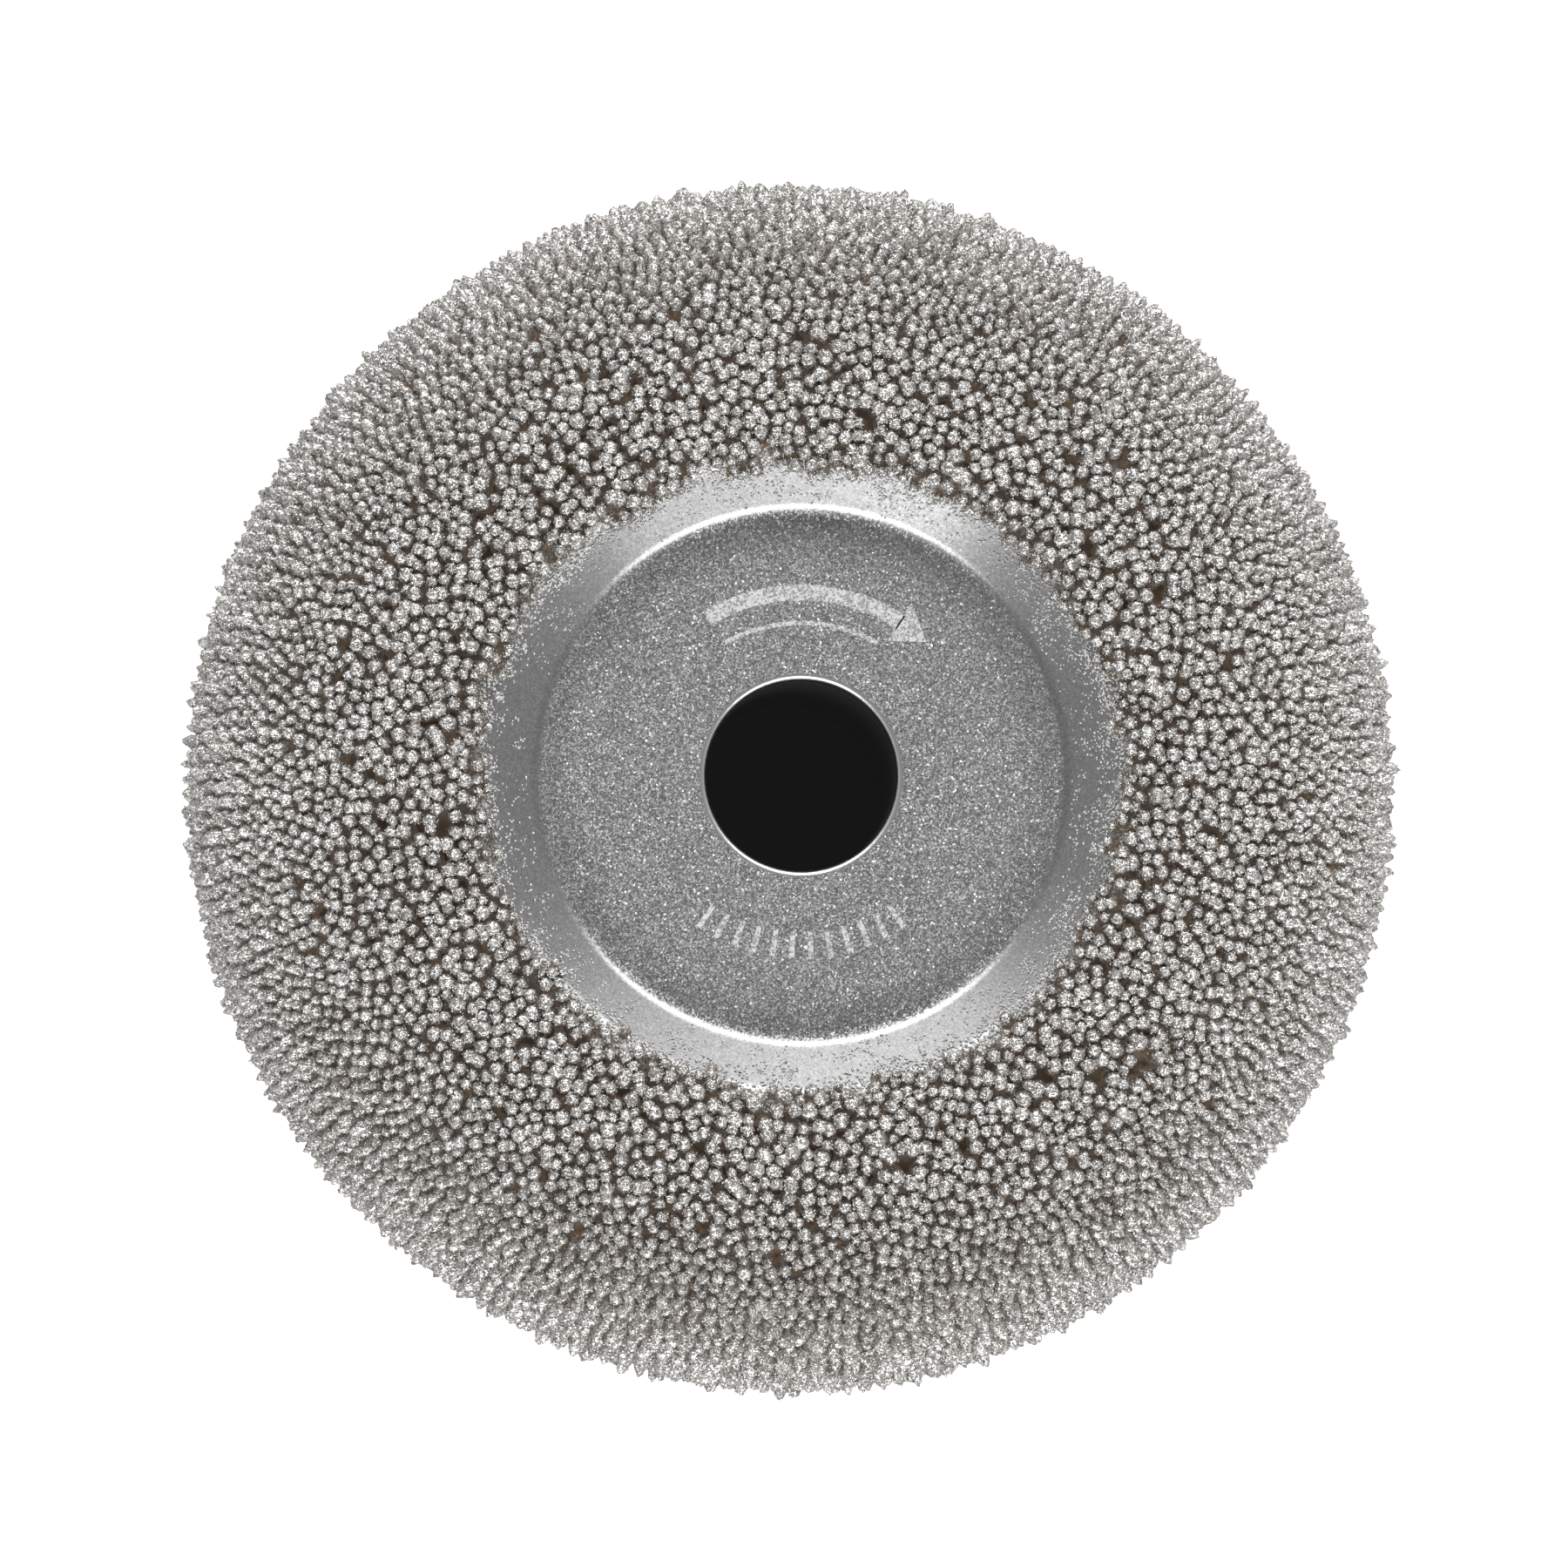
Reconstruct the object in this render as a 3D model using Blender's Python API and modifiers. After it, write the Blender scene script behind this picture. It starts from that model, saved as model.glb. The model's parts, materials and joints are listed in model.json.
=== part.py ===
"""A contour buffing wheel with carbide grit, for a 10 mm arbor.

Two equal steel pressings meet at the rim. Each has a flat hub plate, sunk below a rounded crest, and
carries a coat of brazed grit. A bush keeps the hub plates apart when the arbor nut clamps them, and a
ring of filler metal inside the rim joins the halves. The wheel lies on its rear side: the bore runs
along Z, and Z = 0 is the lowest point of the rear coat. Lengths are in metres.
"""

import math

import bpy
from mathutils import Vector

# The whole wheel, over the tips of the grit
WHEEL_RADIUS = 0.0325
WHEEL_WIDTH = 0.027
GRIT_HEIGHT = 0.0016

# The pressed steel halves
SHEET = 0.0012
BORE_RADIUS = 0.005
HUB_DEPTH = 0.0039  # the hub plate's face below the tips at the crest
HUB_CORNER = 0.0139  # radius at which the plate and the wall would meet without a bend
WALL_ANGLE = math.radians(38)  # slope of the wall that rises from the plate
HUB_BEND = 0.0016
SHOULDER_BEND = 0.0022  # from the wall into the crest
EDGE_CHAMFER = 0.0002

# The grit coat's inner border
GRIT_START = 0.0165
GRIT_EDGE_HEIGHT = 0.0006

# The inner pieces
BUSH_RADIUS = 0.008
RING_THICKNESS = 0.001
RING_HALF_WIDTH = 0.002

GAP = 0.0003  # left between pieces that touch on the real wheel

# How finely the round shapes are divided
TURN_STEPS = 48
RIM_STEPS = 9
BEND_STEPS = 3

# Heights above the wheel's middle plane, and the rim's section
CREST_RADIUS = WHEEL_RADIUS - WHEEL_WIDTH / 2
SHELL_ROUND = WHEEL_WIDTH / 2 - GRIT_HEIGHT
HUB_HEIGHT = WHEEL_WIDTH / 2 - HUB_DEPTH
SLOPE_RUN = (SHELL_ROUND - HUB_HEIGHT) / math.tan(WALL_ANGLE)
HUB_FLAT_END = HUB_CORNER - HUB_BEND * math.tan(WALL_ANGLE / 2)
SHOULDER_END = HUB_CORNER + SLOPE_RUN + SHOULDER_BEND * math.tan(WALL_ANGLE / 2)


def clear_scene():
    for thing in list(bpy.data.objects):
        bpy.data.objects.remove(thing, do_unlink=True)


def metal(name, colour, roughness):
    material = bpy.data.materials.new(name)
    material.use_nodes = True
    shader = material.node_tree.nodes["Principled BSDF"]
    shader.inputs["Base Color"].default_value = (*colour, 1.0)
    shader.inputs["Metallic"].default_value = 1.0
    shader.inputs["Roughness"].default_value = roughness
    return material


def arc(centre, radius, start, end, steps, outward=1):
    """Points of an arc in the X-Z section plane, each with the direction that points off the steel."""
    line = []
    for step in range(steps + 1):
        angle = start + (end - start) * step / steps
        away = Vector((math.cos(angle), math.sin(angle)))
        line.append((Vector(centre) + away * radius, away * outward))
    return line


def rim_arc(radius, half_gap):
    """The quarter of the rounded rim from the crest to the middle plane."""
    end = math.asin(half_gap / radius)
    return arc((CREST_RADIUS, 0), radius, math.pi / 2, end, RIM_STEPS)


def shoulder_arc(start):
    centre = (SHOULDER_END, SHELL_ROUND - SHOULDER_BEND)
    return arc(centre, SHOULDER_BEND, start, math.pi / 2, BEND_STEPS)


def shell_section():
    """The outer face of one pressing, from the bore out to the rim."""
    bore_edge = Vector((BORE_RADIUS, HUB_HEIGHT))
    bend_centre = (HUB_FLAT_END, HUB_HEIGHT + HUB_BEND)
    floor = -math.pi / 2
    hub_bend = arc(bend_centre, HUB_BEND, floor, floor + WALL_ANGLE, BEND_STEPS)
    shoulder = shoulder_arc(math.pi / 2 + WALL_ANGLE)
    rim = rim_arc(SHELL_ROUND, GAP / 2)
    return [bore_edge] + [point for point, _ in hub_bend + shoulder + rim]


def coat_section():
    """A closed outline: over the tips from the inner border to the rim, and back along the steel."""
    start = math.acos((GRIT_START - SHOULDER_END) / SHOULDER_BEND)
    shoulder = shoulder_arc(start)
    rim = rim_arc(SHELL_ROUND, GAP / 2)
    outer = []
    inner = []
    for index, (point, away) in enumerate(shoulder + rim):
        grown = min(1.0, index / BEND_STEPS)
        height = GRIT_EDGE_HEIGHT + (GRIT_HEIGHT - GRIT_EDGE_HEIGHT) * grown
        outer.append(point + away * height)
        inner.append(point + away * GAP)
    return outer + inner[::-1]


def bush_section():
    end = HUB_HEIGHT - SHEET - GAP
    return [
        Vector((BORE_RADIUS, end)),
        Vector((BUSH_RADIUS, end)),
        Vector((BUSH_RADIUS, -end)),
        Vector((BORE_RADIUS, -end)),
    ]


def ring_section():
    """The ring's outer face follows the inside of the shells."""
    radius = SHELL_ROUND - SHEET - GAP
    edge = math.asin(RING_HALF_WIDTH / radius)
    outer = [point for point, _ in arc((CREST_RADIUS, 0), radius, edge, -edge, BEND_STEPS + 1)]
    inside = CREST_RADIUS + radius - RING_THICKNESS
    return outer + [Vector((inside, -RING_HALF_WIDTH)), Vector((inside, RING_HALF_WIDTH))]


def turned(name, section, closed, material, collection, parent):
    """A section in the X-Z plane, turned about the wheel's axis."""
    count = len(section)
    edges = [(i, i + 1) for i in range(count - 1)]
    if closed:
        edges.append((count - 1, 0))
    mesh = bpy.data.meshes.new(name)
    mesh.from_pydata([(p.x, 0.0, p.y) for p in section], edges, [])
    mesh.materials.append(material)
    piece = bpy.data.objects.new(name, mesh)
    piece.parent = parent
    collection.objects.link(piece)
    screw = piece.modifiers.new("turn", "SCREW")
    screw.axis = "Z"
    screw.angle = math.tau
    screw.steps = TURN_STEPS
    screw.render_steps = TURN_STEPS
    screw.use_merge_vertices = True
    screw.merge_threshold = 1e-5
    return piece


def thicken(piece):
    """Turns an open pressed face into sheet steel, on its inner side."""
    solidify = piece.modifiers.new("sheet", "SOLIDIFY")
    solidify.thickness = SHEET
    solidify.offset = -1.0
    solidify.use_even_offset = True


def chamfer(piece):
    bevel = piece.modifiers.new("chamfer", "BEVEL")
    bevel.width = EDGE_CHAMFER
    bevel.segments = 1
    bevel.limit_method = "ANGLE"
    bevel.angle_limit = math.radians(60)


def settle(piece):
    """Keeps the modifiers' result as the piece's mesh, smooth apart from its sharp edges."""
    graph = bpy.context.evaluated_depsgraph_get()
    mesh = bpy.data.meshes.new_from_object(piece.evaluated_get(graph))
    old = piece.data
    piece.modifiers.clear()
    piece.data = mesh
    bpy.data.meshes.remove(old)
    mesh.name = piece.name
    mesh.shade_smooth()
    mesh.set_sharp_from_angle(angle=math.radians(35))


def half_shell(name, material, collection, parent):
    piece = turned(name, shell_section(), False, material, collection, parent)
    thicken(piece)
    chamfer(piece)
    return piece


def grit_coat(name, material, collection, parent):
    return turned(name, coat_section(), True, material, collection, parent)


def arbor_bush(name, material, collection, parent):
    piece = turned(name, bush_section(), True, material, collection, parent)
    chamfer(piece)
    return piece


def rim_joining_ring(name, material, collection, parent):
    return turned(name, ring_section(), True, material, collection, parent)


def build():
    clear_scene()
    collection = bpy.data.collections.new("contour_buffing_wheel")
    bpy.context.scene.collection.children.link(collection)
    centre = bpy.data.objects.new("wheel_centre", None)
    centre.location.z = WHEEL_WIDTH / 2
    collection.objects.link(centre)

    shell_steel = (0.56, 0.56, 0.55)
    bush_steel = (0.20, 0.20, 0.21)
    filler = (0.42, 0.36, 0.28)
    carbide = (0.40, 0.41, 0.42)
    front_shell = half_shell("front_shell", metal("front_steel", shell_steel, 0.38), collection, centre)
    rear_shell = half_shell("rear_shell", metal("rear_steel", shell_steel, 0.38), collection, centre)
    bush = arbor_bush("arbor_bush", metal("bush_steel", bush_steel, 0.5), collection, centre)
    ring = rim_joining_ring("rim_joining_ring", metal("filler_metal", filler, 0.5), collection, centre)
    front_coat = grit_coat("front_grit_coat", metal("front_carbide", carbide, 0.45), collection, centre)
    rear_coat = grit_coat("rear_grit_coat", metal("rear_carbide", carbide, 0.45), collection, centre)

    # The rear pieces are the front ones turned over about X.
    for piece in (rear_shell, rear_coat):
        piece.rotation_euler.x = math.pi
    bpy.context.view_layer.update()
    for piece in (front_shell, rear_shell, bush, ring, front_coat, rear_coat):
        settle(piece)


build()
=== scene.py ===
import json
import math

import bpy
import numpy as np
from mathutils import Matrix, Vector
from mathutils.kdtree import KDTree


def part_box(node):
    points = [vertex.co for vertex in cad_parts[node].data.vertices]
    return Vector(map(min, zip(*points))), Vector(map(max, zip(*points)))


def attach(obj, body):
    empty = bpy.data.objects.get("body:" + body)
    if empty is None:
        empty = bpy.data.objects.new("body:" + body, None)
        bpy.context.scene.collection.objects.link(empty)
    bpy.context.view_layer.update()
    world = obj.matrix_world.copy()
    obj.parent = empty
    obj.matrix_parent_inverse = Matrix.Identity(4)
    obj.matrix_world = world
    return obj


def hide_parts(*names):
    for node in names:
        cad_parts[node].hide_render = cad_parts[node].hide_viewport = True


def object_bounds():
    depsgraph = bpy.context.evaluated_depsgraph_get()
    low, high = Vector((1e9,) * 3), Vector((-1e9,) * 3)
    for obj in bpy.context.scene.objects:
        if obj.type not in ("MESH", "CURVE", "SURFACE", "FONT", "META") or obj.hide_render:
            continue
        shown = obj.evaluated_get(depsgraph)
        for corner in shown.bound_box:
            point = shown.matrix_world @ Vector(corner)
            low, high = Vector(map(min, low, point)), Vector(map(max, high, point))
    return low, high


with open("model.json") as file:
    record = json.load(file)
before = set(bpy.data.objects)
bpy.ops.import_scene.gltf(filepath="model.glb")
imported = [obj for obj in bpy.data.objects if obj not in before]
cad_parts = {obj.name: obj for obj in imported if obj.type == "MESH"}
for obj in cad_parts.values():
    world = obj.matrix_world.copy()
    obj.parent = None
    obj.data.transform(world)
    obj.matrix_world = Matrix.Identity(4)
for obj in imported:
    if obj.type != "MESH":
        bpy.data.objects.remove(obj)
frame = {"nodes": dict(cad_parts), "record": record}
CAD_LOW, CAD_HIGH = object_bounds()

# ---------------------------------------------------------------------------------------------
# Sizes. Heights are taken from the wheel's middle plane, and lengths are in metres.
# ---------------------------------------------------------------------------------------------
MOUNTS = {mount["name"]: mount for mount in frame["record"]["mounts"]}
MIDDLE = (CAD_LOW.z + CAD_HIGH.z) / 2
TIP_ROUND = CAD_HIGH.z - MIDDLE  # radius of the rim's section over the needle tips
CREST_RADIUS = CAD_HIGH.x - TIP_ROUND
SHELL_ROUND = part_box("front_shell")[1].z - MIDDLE  # the same radius on the steel
HUB_HEIGHT = MOUNTS["front_hub_face"]["pos_m"][2] - MIDDLE
GRIT_HEIGHT = TIP_ROUND - SHELL_ROUND

# The pressing's bends, as on the CAD shells
SHEET = 0.0012
BORE_RADIUS = 0.005
HUB_CORNER = 0.0139
WALL_ANGLE = math.radians(38)
HUB_BEND = 0.0016
SHOULDER_BEND = 0.0022
SEAM_GAP = 0.0003
BORE_EDGE = 0.0003  # the radius of its rounded edge
BUSH_EDGE = 0.0003
SHELL_STEPS = 256  # round the axis
BUSH_STEPS = 128
HUB_FLAT_END = HUB_CORNER - HUB_BEND * math.tan(WALL_ANGLE / 2)
SLOPE_RUN = (SHELL_ROUND - HUB_HEIGHT) / math.tan(WALL_ANGLE)
SHOULDER_END = HUB_CORNER + SLOPE_RUN + SHOULDER_BEND * math.tan(WALL_ANGLE / 2)

# The grit
GRIT_START = 0.0165  # mean radius at which needles begin
NEEDLE_AREA = 0.50e-6  # of the coat's mid-height surface, for each needle
NEEDLE_RADIUS = 0.00041
NEEDLE_SIDES = 9
CROWDING = 0.93  # how far apart neighbours stand, in sums of their radii
SPREAD_ROUNDS = 14
LOOSENESS = (0.45, 0.10)  # of their first places, by the crest and round the rim
CRYSTALS = 16  # loose-looking crystals on each needle
CRYSTAL_SIZE = (0.00005, 0.00010)
CRYSTAL_SINK = 0.00002  # how deep they sit in it
SECTORS = 10  # pieces that each side's needles are split into
RIM_ROWS = 217  # rows of needles that run over the rim from side to side
ROW_PULL = 0.34  # how strictly the needles there keep to their rows

# How the needles vary
RADIUS_SPREAD = 0.11  # as a share of their radius
MISSING = 0.006  # the share that never took
BORDER_JITTER = (-0.0002, 0.0006)
BORDER_TAPER = 0.0010  # over which they grow to their full size
LEAN = (0.085, 0.04)  # by the crest and round the rim
LEVEL_HEIGHT = (0.79, 0.98)  # by the crest, in parts of GRIT_HEIGHT
LOW_TOOTH, TOOTH_RISE, TOOTH_SPREAD = 0.77, 0.26, 0.035  # round the rim, the same
TALL_SHARE = 0.28  # of those round the rim, which rise above the low ones
SHORT_LENGTH, SHORT_RADIUS = 0.45, 0.62  # at the border, in parts of the full ones

# Loose splinters on each wall
DRIFTS = 330
SIDE_DRIFTS = 60  # of them, those that lie on the right-hand side
DRIFT_SPLINTERS = 9
BORDER_SPLINTERS = 10500
SPLINTER_SIZE = (0.00004, 0.00008)

SEED = 20417
random = np.random.default_rng(SEED)


# ---------------------------------------------------------------------------------------------
# Mesh helpers
# ---------------------------------------------------------------------------------------------
def add_mesh(name, points, faces, smooth=True):
    """An object from an (n, 3) array of points and a list of (k, corners) face arrays."""
    mesh = bpy.data.meshes.new(name)
    mesh.vertices.add(len(points))
    mesh.vertices.foreach_set("co", np.asarray(points, np.float32).ravel())
    corners = np.concatenate([group.ravel() for group in faces]).astype(np.int32)
    sizes = np.concatenate([np.full(len(group), group.shape[1]) for group in faces])
    starts = np.concatenate([[0], np.cumsum(sizes)[:-1]]).astype(np.int32)
    mesh.loops.add(len(corners))
    mesh.loops.foreach_set("vertex_index", corners)
    mesh.polygons.add(len(sizes))
    mesh.polygons.foreach_set("loop_start", starts)
    mesh.update(calc_edges=True)
    if smooth:
        mesh.shade_smooth()
    piece = bpy.data.objects.new(name, mesh)
    bpy.context.scene.collection.objects.link(piece)
    return piece


def add_value(piece, name, values):
    """A number for each vertex, which the materials read."""
    attribute = piece.data.attributes.new(name, "FLOAT", "POINT")
    attribute.data.foreach_set("value", np.asarray(values, np.float32))


def turned(name, section, steps):
    """A closed section in the X-Z plane, turned about the wheel's axis. The section's outer side
    runs from top to bottom."""
    section = np.array(section)
    count = len(section)
    angles = np.arange(steps) / steps * math.tau
    radius = section[:, 0]
    points = np.stack(
        [
            np.outer(np.cos(angles), radius),
            np.outer(np.sin(angles), radius),
            np.outer(np.ones(steps), section[:, 1]) + MIDDLE,
        ],
        axis=-1,
    ).reshape(-1, 3)
    turn, along = np.meshgrid(np.arange(steps), np.arange(count), indexing="ij")
    here = turn * count + along
    below = turn * count + (along + 1) % count
    beside = (turn + 1) % steps * count + along
    diagonal = (turn + 1) % steps * count + (along + 1) % count
    quads = np.stack([here, below, diagonal, beside], axis=-1).reshape(-1, 4)
    piece = add_mesh(name, points, [quads])
    piece.data.set_sharp_from_angle(angle=math.radians(30))
    return piece


def arc(centre, radius, start, end, steps, outward=1):
    """(points, normals) of an arc in the section plane."""
    angles = np.linspace(start, end, steps + 1)
    away = np.stack([np.cos(angles), np.sin(angles)], axis=-1)
    return np.array(centre) + away * radius, away * outward


# ---------------------------------------------------------------------------------------------
# The steel's outer face in section, from the hub out to the middle plane
# ---------------------------------------------------------------------------------------------
def shell_line(inset=0.0, bend_steps=10, rim_steps=48):
    """(points, normals) of the pressing's outer face, or of a face that lies inset below it."""
    bend_centre = (HUB_FLAT_END, HUB_HEIGHT + HUB_BEND)
    shoulder_centre = (SHOULDER_END, SHELL_ROUND - SHOULDER_BEND)
    floor = -math.pi / 2
    top = math.pi / 2
    end = math.asin(SEAM_GAP / 2 / (SHELL_ROUND - inset))
    bend = arc(bend_centre, HUB_BEND + inset, floor, floor + WALL_ANGLE, bend_steps, -1)
    shoulder = arc(shoulder_centre, SHOULDER_BEND - inset, top + WALL_ANGLE, top, bend_steps)
    rim = arc((CREST_RADIUS, 0), SHELL_ROUND - inset, top, end, rim_steps)
    points = np.concatenate([bend[0], shoulder[0], rim[0]])
    normals = np.concatenate([bend[1], shoulder[1], rim[1]])
    return points, normals


def shell_section():
    """The whole outline of one pressing: out along its outer face, back along its inner face."""
    outer = shell_line()[0]
    inner = shell_line(SHEET)[0][::-1]
    low = HUB_HEIGHT - SHEET
    lip = (BORE_RADIUS + BORE_EDGE, HUB_HEIGHT - BORE_EDGE)
    mouth = arc(lip, BORE_EDGE, math.pi, math.pi / 2, 8)[0]
    foot = [(BORE_RADIUS + BORE_EDGE, low), (BORE_RADIUS, low + BORE_EDGE)]
    return [tuple(p) for line in (mouth, outer, inner, foot) for p in line]


# ---------------------------------------------------------------------------------------------
# Node helpers
# ---------------------------------------------------------------------------------------------
class Nodes:
    """A material's node tree, with short ways to add nodes and link them."""

    def __init__(self, name):
        self.material = bpy.data.materials.new(name)
        self.material.use_nodes = True
        self.tree = self.material.node_tree
        self.shader = self.tree.nodes["Principled BSDF"]

    def add(self, kind, **settings):
        node = self.tree.nodes.new(kind)
        for name, value in settings.items():
            setattr(node, name, value)
        return node

    def link(self, source, target):
        if isinstance(source, bpy.types.NodeSocket):
            self.tree.links.new(source, target)
        else:
            target.default_value = source

    def math(self, operation, first, second=0.0, clamp=False):
        node = self.add("ShaderNodeMath", operation=operation, use_clamp=clamp)
        self.link(first, node.inputs[0])
        self.link(second, node.inputs[1])
        return node.outputs[0]

    def vector(self, operation, first, second=(0.0, 0.0, 0.0), scale=None):
        node = self.add("ShaderNodeVectorMath", operation=operation)
        self.link(first, node.inputs[0])
        if scale is None:
            self.link(second, node.inputs[1])
        else:
            self.link(scale, node.inputs["Scale"])
        return node.outputs["Value" if operation in ("LENGTH", "DISTANCE") else "Vector"]

    def ramp(self, value, low, high, start=0.0, end=1.0):
        """value, taken from the range low..high to start..end, with a smooth step."""
        node = self.add("ShaderNodeMapRange", interpolation_type="SMOOTHSTEP")
        for socket, number in zip(node.inputs[:5], (value, low, high, start, end)):
            self.link(number, socket)
        return node.outputs[0]

    def mix(self, factor, first, second):
        node = self.add("ShaderNodeMix", data_type="RGBA")
        for socket, value in zip((node.inputs[0], node.inputs[6], node.inputs[7]),
                                 (factor, first, second)):
            self.link(value, socket)
        return node.outputs[2]

    def attribute(self, name):
        return self.add("ShaderNodeAttribute", attribute_name=name).outputs["Fac"]

    def position(self):
        return self.add("ShaderNodeTexCoord").outputs["Object"]

    def noise(self, size, detail=2.0):
        """Noise from 0 to 1 with features of about that size."""
        node = self.add("ShaderNodeTexNoise")
        self.link(self.position(), node.inputs["Vector"])
        node.inputs["Scale"].default_value = 1 / size
        node.inputs["Detail"].default_value = detail
        return node.outputs["Fac"]

    def crystals(self, size):
        """Cells of about that size. Gives a random colour that is the same all over each cell."""
        node = self.add("ShaderNodeTexVoronoi")
        self.link(self.position(), node.inputs["Vector"])
        node.inputs["Scale"].default_value = 1 / size
        return node.outputs["Color"]

    def glitter(self, size, low, high):
        """A random number for each cell of about that size, raised smoothly from low to high."""
        split = self.add("ShaderNodeSeparateColor")
        self.link(self.crystals(size), split.inputs[0])
        return self.ramp(split.outputs[0], low, high)

    def facets(self, size):
        """A random push for the normal, the same all over each cell of about that size."""
        return self.vector("SUBTRACT", self.crystals(size), (0.5, 0.5, 0.5))

    def grains(self, size):
        """Cells rounded into grains: a push away from each middle, and the distance from it."""
        cells = self.add("ShaderNodeTexVoronoi")
        place = self.position()
        self.link(place, cells.inputs["Vector"])
        cells.inputs["Scale"].default_value = 1 / size
        away = self.vector("SUBTRACT", place, cells.outputs["Position"])
        return self.vector("SCALE", away, scale=1 / size), cells.outputs["Distance"]

    def tilted(self, pushes):
        """The surface's normal, pushed aside by each (direction, amount) of pushes."""
        normal = self.add("ShaderNodeNewGeometry").outputs["Normal"]
        for direction, amount in pushes:
            normal = self.vector("ADD", normal, self.vector("SCALE", direction, scale=amount))
        return self.vector("NORMALIZE", normal)


def grey(value, warmth=0.0):
    """A linear colour: positive warmth leans to red, and negative to blue."""
    return (value * (1 + warmth), value, value * (1 - warmth), 1.0)


# ---------------------------------------------------------------------------------------------
# Materials
# ---------------------------------------------------------------------------------------------
# Sizes of the cells that sparkle or stand out in each material
PLATE_GRAIN = 0.00007
PAINTED_GLINT_GRAIN = 0.00009
WALL_GRAIN = 0.00008
CARBIDE_GRAIN = 0.00014
CARBIDE_GLINT = 0.00011
BORE_GLOW = 0.007  # the little light that the deep bore scatters, instead of many bounces
GAP_GLOW = 0.032  # the same for the gaps between needles


def steel_material(name):
    """Satin, finely sparkling hub plate with sparse white cells painted as glints and painted
    shade towards its bend; near-black painted shade inside the bore; smooth bright wall; brown,
    braze-stained bed of grit.
    """
    nodes = Nodes(name)
    place = nodes.vector("MULTIPLY", nodes.position(), (1.0, 1.0, 0.0))
    radius = nodes.vector("LENGTH", place)
    on_wall = nodes.ramp(radius, HUB_FLAT_END + 0.0001, HUB_FLAT_END + 0.0007)
    on_lip = nodes.ramp(radius, BORE_RADIUS + 0.00042, BORE_RADIUS + 0.00026)
    smooth = nodes.math("MAXIMUM", on_wall, on_lip)
    in_grit = nodes.ramp(
        nodes.math("ADD", radius, nodes.math("MULTIPLY", nodes.noise(0.0009), 0.0012)),
        GRIT_START + 0.0012,
        GRIT_START + 0.0032,
    )
    stain = nodes.ramp(nodes.noise(0.0016, 3.0), 0.46, 0.66)
    bed = nodes.mix(stain, grey(0.20, 0.22), grey(0.38, 0.10))
    plate = nodes.mix(nodes.glitter(PLATE_GRAIN, 0.35, 1.0), grey(0.19), grey(0.45))
    # Sparse cells painted white: painted glints on the satin plate.
    plate = nodes.mix(nodes.glitter(PAINTED_GLINT_GRAIN, 0.95, 0.99), plate, grey(1.0))
    # Darker towards the bend: painted shade, where the recess's wall and the needles keep light
    # off the plate's edge.
    bend_painted_shade = nodes.ramp(radius, HUB_FLAT_END - 0.0020, HUB_FLAT_END - 0.0004)
    plate = nodes.mix(nodes.math("MULTIPLY", bend_painted_shade, 0.36), plate, grey(0.14))
    wall = nodes.mix(nodes.glitter(WALL_GRAIN, 0.15, 1.0), grey(0.31), grey(0.44))
    polished = nodes.mix(on_lip, wall, grey(0.75))
    bare = nodes.mix(smooth, plate, polished)
    outside = nodes.mix(in_grit, bare, bed)
    height = nodes.add("ShaderNodeSeparateXYZ")
    nodes.link(nodes.position(), height.inputs[0])
    depth = nodes.math("ABSOLUTE", nodes.math("SUBTRACT", height.outputs["Z"], MIDDLE))
    # The sheet's hidden face inside the bore is painted near black as painted shade, with a faint
    # painted glow for its bounced light.
    bore_shade_and_glow = nodes.math(
        "MULTIPLY",
        nodes.ramp(depth, HUB_HEIGHT - 0.0003, HUB_HEIGHT - 0.0006),
        nodes.ramp(radius, HUB_FLAT_END, HUB_FLAT_END - 0.001),
    )
    colour = nodes.mix(bore_shade_and_glow, outside, grey(0.004))
    nodes.link(colour, nodes.shader.inputs["Base Color"])
    nodes.shader.inputs["Emission Color"].default_value = grey(1.0)
    glow = nodes.math("MULTIPLY", bore_shade_and_glow, BORE_GLOW)
    nodes.link(glow, nodes.shader.inputs["Emission Strength"])
    metallic = nodes.mix(in_grit, nodes.mix(smooth, grey(0.65), grey(1.0)), grey(0.2))
    nodes.link(metallic, nodes.shader.inputs["Metallic"])
    rough = nodes.mix(in_grit, nodes.mix(smooth, grey(0.40), grey(0.28)), grey(0.7))
    nodes.link(rough, nodes.shader.inputs["Roughness"])
    calm = nodes.math("SUBTRACT", 1.0, smooth)
    fine = nodes.math("ADD", nodes.math("MULTIPLY", calm, 0.7), 0.05)
    pushes = [(nodes.facets(PLATE_GRAIN), fine)]
    nodes.link(nodes.tilted(pushes), nodes.shader.inputs["Normal"])
    return nodes.material


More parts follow.
